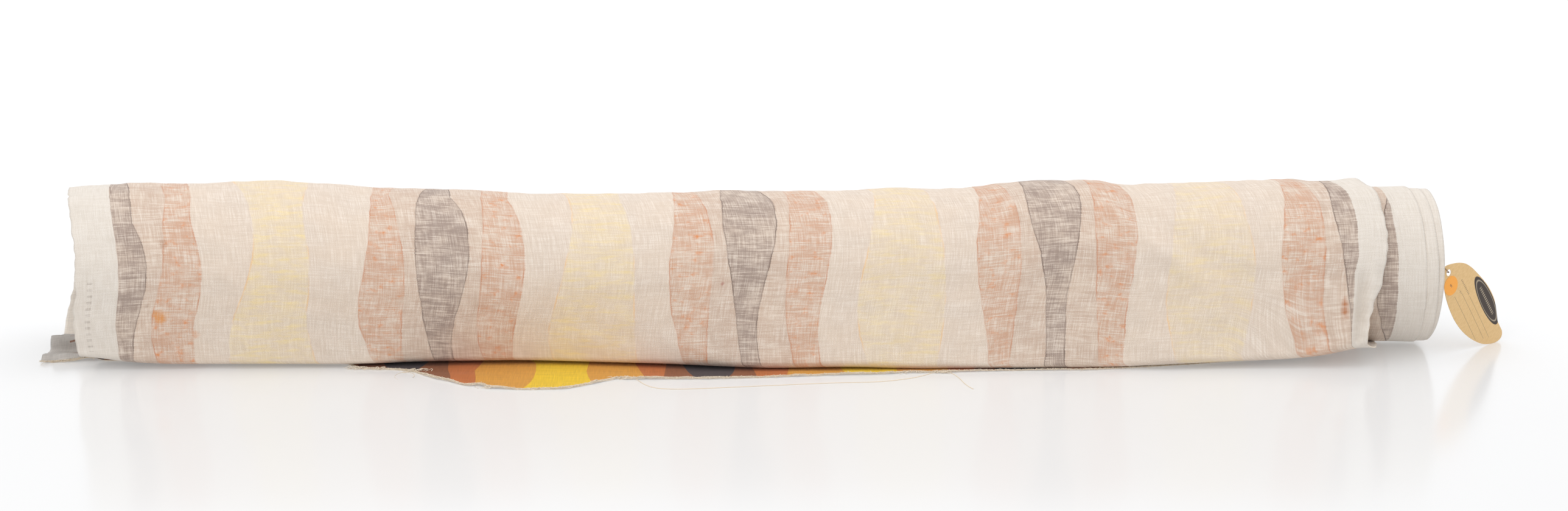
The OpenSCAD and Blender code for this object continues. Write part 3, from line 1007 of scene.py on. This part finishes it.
def make_cloth():
    reverse = cloth_reverse_material()
    face = cloth_face_material()
    threads = yarn_material("cloth_edge", (0.93, 0.84, 0.71), (0.78, 0.64, 0.47))

    materials = (reverse, face, threads)
    cloth, points, length = outer_cloth(materials)
    fringe = cut_edge_fringe(points, threads)
    for piece in (cloth, fringe):
        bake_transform(piece)
    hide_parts("outer_turn", "under_layer", "free_end")

    near_ends = np.array([0, 0.002, 0.005, 0.01, 0.017, 0.026, 0.038, 0.055, 0.08, 0.12])
    fine = np.concatenate([near_ends, np.arange(0.16, 1.07, 0.06), CLOTH_WIDTH - near_ends[::-1]])
    coarse = np.array([0, 0.006, 0.03, 0.4, 0.82, 1.19, 1.214, 1.22])
    outer_turns, outer_length = wound_turns(
        "outer_windings", 0, 3, 150, fine / CLOTH_WIDTH, materials)
    inner_turns, inner_length = wound_turns(
        "wound_cloth", 3, (PACK_OUTER - PACK_INNER) / PITCH, 90, coarse / CLOTH_WIDTH, materials)
    for piece, long in ((outer_turns, outer_length), (inner_turns, inner_length)):
        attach(piece, "roll")
    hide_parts("second_turn", "wound_turns_outer")
    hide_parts("wound_turns_inner", "wound_turns_middle")


# ---------- swing tag

TAG_MID = Vector((0.703, -0.033, 0.047))
TAG_TURN = math.radians(36)
TAG_TILT = math.radians(49)
TAG_LONG = 0.112
TAG_WIDE = 0.052
TAG_THICK = 0.0006
HOLE_AT = -0.0465
HOLE_R = 0.0032
DOT_AT = (-0.0341, -0.0058)
DOT_R = 0.0095


def tag_frame():
    """The card's own axes as a matrix: X from the hole to the far tip, Y across, Z out of its face."""
    away = Vector((math.cos(TAG_TURN), math.sin(TAG_TURN), 0))
    long = away * math.cos(TAG_TILT) + Vector((0, 0, -math.sin(TAG_TILT)))
    out = Vector((math.sin(TAG_TURN), -math.cos(TAG_TURN), 0))
    wide = out.cross(long)
    turn = Matrix((long, wide, out)).transposed().to_4x4()
    return Matrix.Translation(TAG_MID) @ turn


PRINT_SKEW = 0.076  # slope of the card's print against the card
PANEL_AT = (0.0187, 0.0223)
PANEL_HALF = (0.033, 0.0092)
CARD_INK = (0.2, 0.14, 0.1)
# Ruled lines and rows of ticks: height, start, end, half width, blur, and whether it is broken
CARD_ROWS = [
    (-0.0104, -0.0205, 0.0405, 0.00022, 0.0001, False),
    (-0.001, -0.0153, 0.0485, 0.00022, 0.0001, False),
    (0.0057, -0.0048, 0.0535, 0.00022, 0.0001, False),
    (0.006, -0.0278, -0.0068, 0.0009, 0.00015, True),
    (-0.0016, -0.0204, -0.016, 0.0009, 0.00015, True),
]


def card_material():
    """Kraft card with a dark oval panel, ruled lines and rows of dashes that spell nothing."""
    g = Graph("kraft_card")
    flat_x, flat_y, _ = g.place("UV")
    x = g.scaled(flat_y, -PRINT_SKEW, flat_x)
    y = g.scaled(flat_x, PRINT_SKEW, flat_y)
    fibre = g.stretched(x, y, 900, 260, 2.2, 4, 0.65)
    speck = g.noise(g.point(x, y), 2400)
    colour = g.mix(g.span(fibre, 0.3, 0.7), (0.69, 0.455, 0.205), (0.79, 0.55, 0.275))
    colour = g.mix(g.span(speck, 0.66, 0.76, 0, 0.6), colour, (0.4, 0.25, 0.11))

    panel_x = g.times(g.minus(x, PANEL_AT[0]), 1 / PANEL_HALF[0])
    panel_y = g.times(g.minus(y, PANEL_AT[1]), 1 / PANEL_HALF[1])
    away = g.away(panel_x, 0, panel_y, 0)
    panel = g.span(away, 0.985, 1, 1, 0)
    colour = g.mix(panel, colour, (0.06, 0.045, 0.038))
    ring = g.times(g.within(away, 0.8, 0.86, 0.008), 0.55)
    strip = g.times(g.within(panel_y, -0.16, 0.16, 0.03), g.within(panel_x, -0.56, 0.56, 0.01))
    ticks = g.span(g.sine(x, 0.0026), -0.1, 0.2)
    pale = g.math("MAXIMUM", ring, g.times(strip, ticks, 0.6))
    colour = g.dye(colour, (0.62, 0.52, 0.38), pale, panel)
    small = g.span(g.sine(x, 0.0021), 0, 0.3)
    for row, start, stop, half, blur, broken in CARD_ROWS:
        line = g.times(g.within(y, row - half, row + half, blur), g.within(x, start, stop, 0.00015))
        colour = g.dye(colour, CARD_INK, line, small if broken else 1, 0.7)
    return g.finish(colour, 0.62, g.bump(fibre, 0.00012, 0.5), Specular_IOR_Level=0.4)


def sticker_material():
    g = Graph("orange_sticker")
    x, y, _ = g.place("UV")
    paper = g.noise(g.point(x, y), 1800, 3)
    colour = g.mix(g.span(paper, 0.3, 0.7), (0.9, 0.36, 0.045), (0.98, 0.43, 0.07))
    long = g.span(g.math("ABSOLUTE", x), 0.0017, 0.002, 1, 0)
    wide = g.span(g.math("ABSOLUTE", y), 0.0008, 0.0011, 1, 0)
    broken = g.span(g.math("SINE", g.times(x, 4200)), -0.2, 0)
    colour = g.dye(colour, (0.1, 0.06, 0.05), long, wide, broken)
    return g.finish(colour, 0.42, g.bump(paper, 0.00006, 0.4), Specular_IOR_Level=0.5)


def card_bow(x, y):
    """How far the card bows out of its plane."""
    return 0.0012 * (1 - (x / (TAG_LONG / 2)) ** 2) - 0.0006 * (y / (TAG_WIDE / 2)) ** 2


# The card's edge in mm, round from its hole end: an oval, pulled in along the dark panel
CARD_EDGE = [
    (-54.8, 0.8), (-53.2, 4), (-49.6, 8.6), (-45.6, 13), (-41, 17.3), (-33.8, 22.2), (-23.9, 25.8),
    (-13, 28), (-2.8, 29.7), (8, 31), (19, 31), (28.8, 29.8), (37.4, 26.9), (46, 23), (52, 20.4),
    (59, 19.9), (65.5, 19.4), (69.5, 16.6), (70, 12), (67.5, 6.4), (61.5, -0.6), (53, -7.8),
    (42.5, -13.4), (30, -18.2), (16, -21.4), (1.7, -22.5), (-10.8, -21.6), (-23, -19.3), (-33, -16.2),
    (-42, -12), (-49.6, -6.8), (-54.2, -1.5),
]


def card_outline(count):
    """Points along the card's rounded edge."""
    keys = np.array(CARD_EDGE) / 1000
    before, after, later = (np.roll(keys, -k, axis=0) for k in (-1, 1, 2))
    points = []
    for t in np.arange(0, 1, len(keys) / count):
        points.append(0.5 * (2 * keys + (after - before) * t
                             + (2 * before - 5 * keys + 4 * after - later) * t**2
                             + (3 * keys - before - 3 * after + later) * t**3))
    return np.stack(points, axis=1).reshape(-1, 2)


def round_plate(name, outline, hole, thickness, base, bow, material, rings=14):
    """A thin plate between an outline and a hole or a middle point, in the card's own frame."""
    flat = np.stack([hole + (outline - hole) * s for s in np.linspace(0, 1, rings)], axis=0)
    points = []
    for height in (base + thickness, base):
        z = height + bow(flat[..., 0], flat[..., 1])
        points.append(np.concatenate([flat, z[..., None]], axis=2).reshape(-1, 3))
    points = np.concatenate(points)
    at = np.arange(len(points)).reshape(2, rings, -1)
    top, under = np.concatenate([at, at[:, :, :1]], axis=2)
    sides = [np.stack([top[0], under[0]]), np.stack([under[-1], top[-1]])]
    faces = np.concatenate([grid_faces(part) for part in (top[::-1], under, *sides)])
    uvs = np.tile(flat.reshape(-1, 2), (2, 1))
    plate = new_mesh(name, points, faces, material, uvs)
    bevel = plate.modifiers.new("soft_edge", "BEVEL")
    bevel.width = thickness * 0.22
    bevel.segments = 2
    bevel.limit_method = "ANGLE"
    bevel.angle_limit = math.radians(60)
    plate.data.set_sharp_from_angle(angle=math.radians(50))
    return plate


def make_tag():
    place = tag_frame()
    edge = card_outline(120)
    angle = np.arctan2(edge[:, 1], edge[:, 0] - HOLE_AT)
    hole = np.stack([HOLE_AT + HOLE_R * np.cos(angle), HOLE_R * np.sin(angle)], axis=1)
    card = round_plate("tag_card", edge, hole, TAG_THICK, 0.0, card_bow, card_material())
    card.data.transform(place)
    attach(card, "tag")
    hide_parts("hang_tag")

    turn = np.linspace(0, 2 * math.pi, 64, endpoint=False)
    rim = np.stack([DOT_R * np.cos(turn), DOT_R * np.sin(turn)], axis=1)

    def on_card(x, y):
        return card_bow(x + DOT_AT[0], y + DOT_AT[1])

    above = TAG_THICK + 0.00004
    dot = round_plate("round_label", rim, rim * 0.02, 0.00018, above, on_card, sticker_material(), 8)
    dot.data.transform(place @ Matrix.Translation((*DOT_AT, 0)))
    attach(dot, "tag")
    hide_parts("dot_sticker")


def finish_frame_parts():
    """The CAD parts that stay as they are: the tube and the tape on it."""
    for name, material, slot in (
        ("core_tube", cardboard_material(), "cardboard_tube"),
        ("start_tape", tape_material(), "paper_tape"),
    ):
        part = nodes[name]
        part.data.materials.clear()
        part.data.materials.append(material)


make_camera()
make_cords()
make_stage()
make_cloth()
make_tag()
finish_frame_parts()
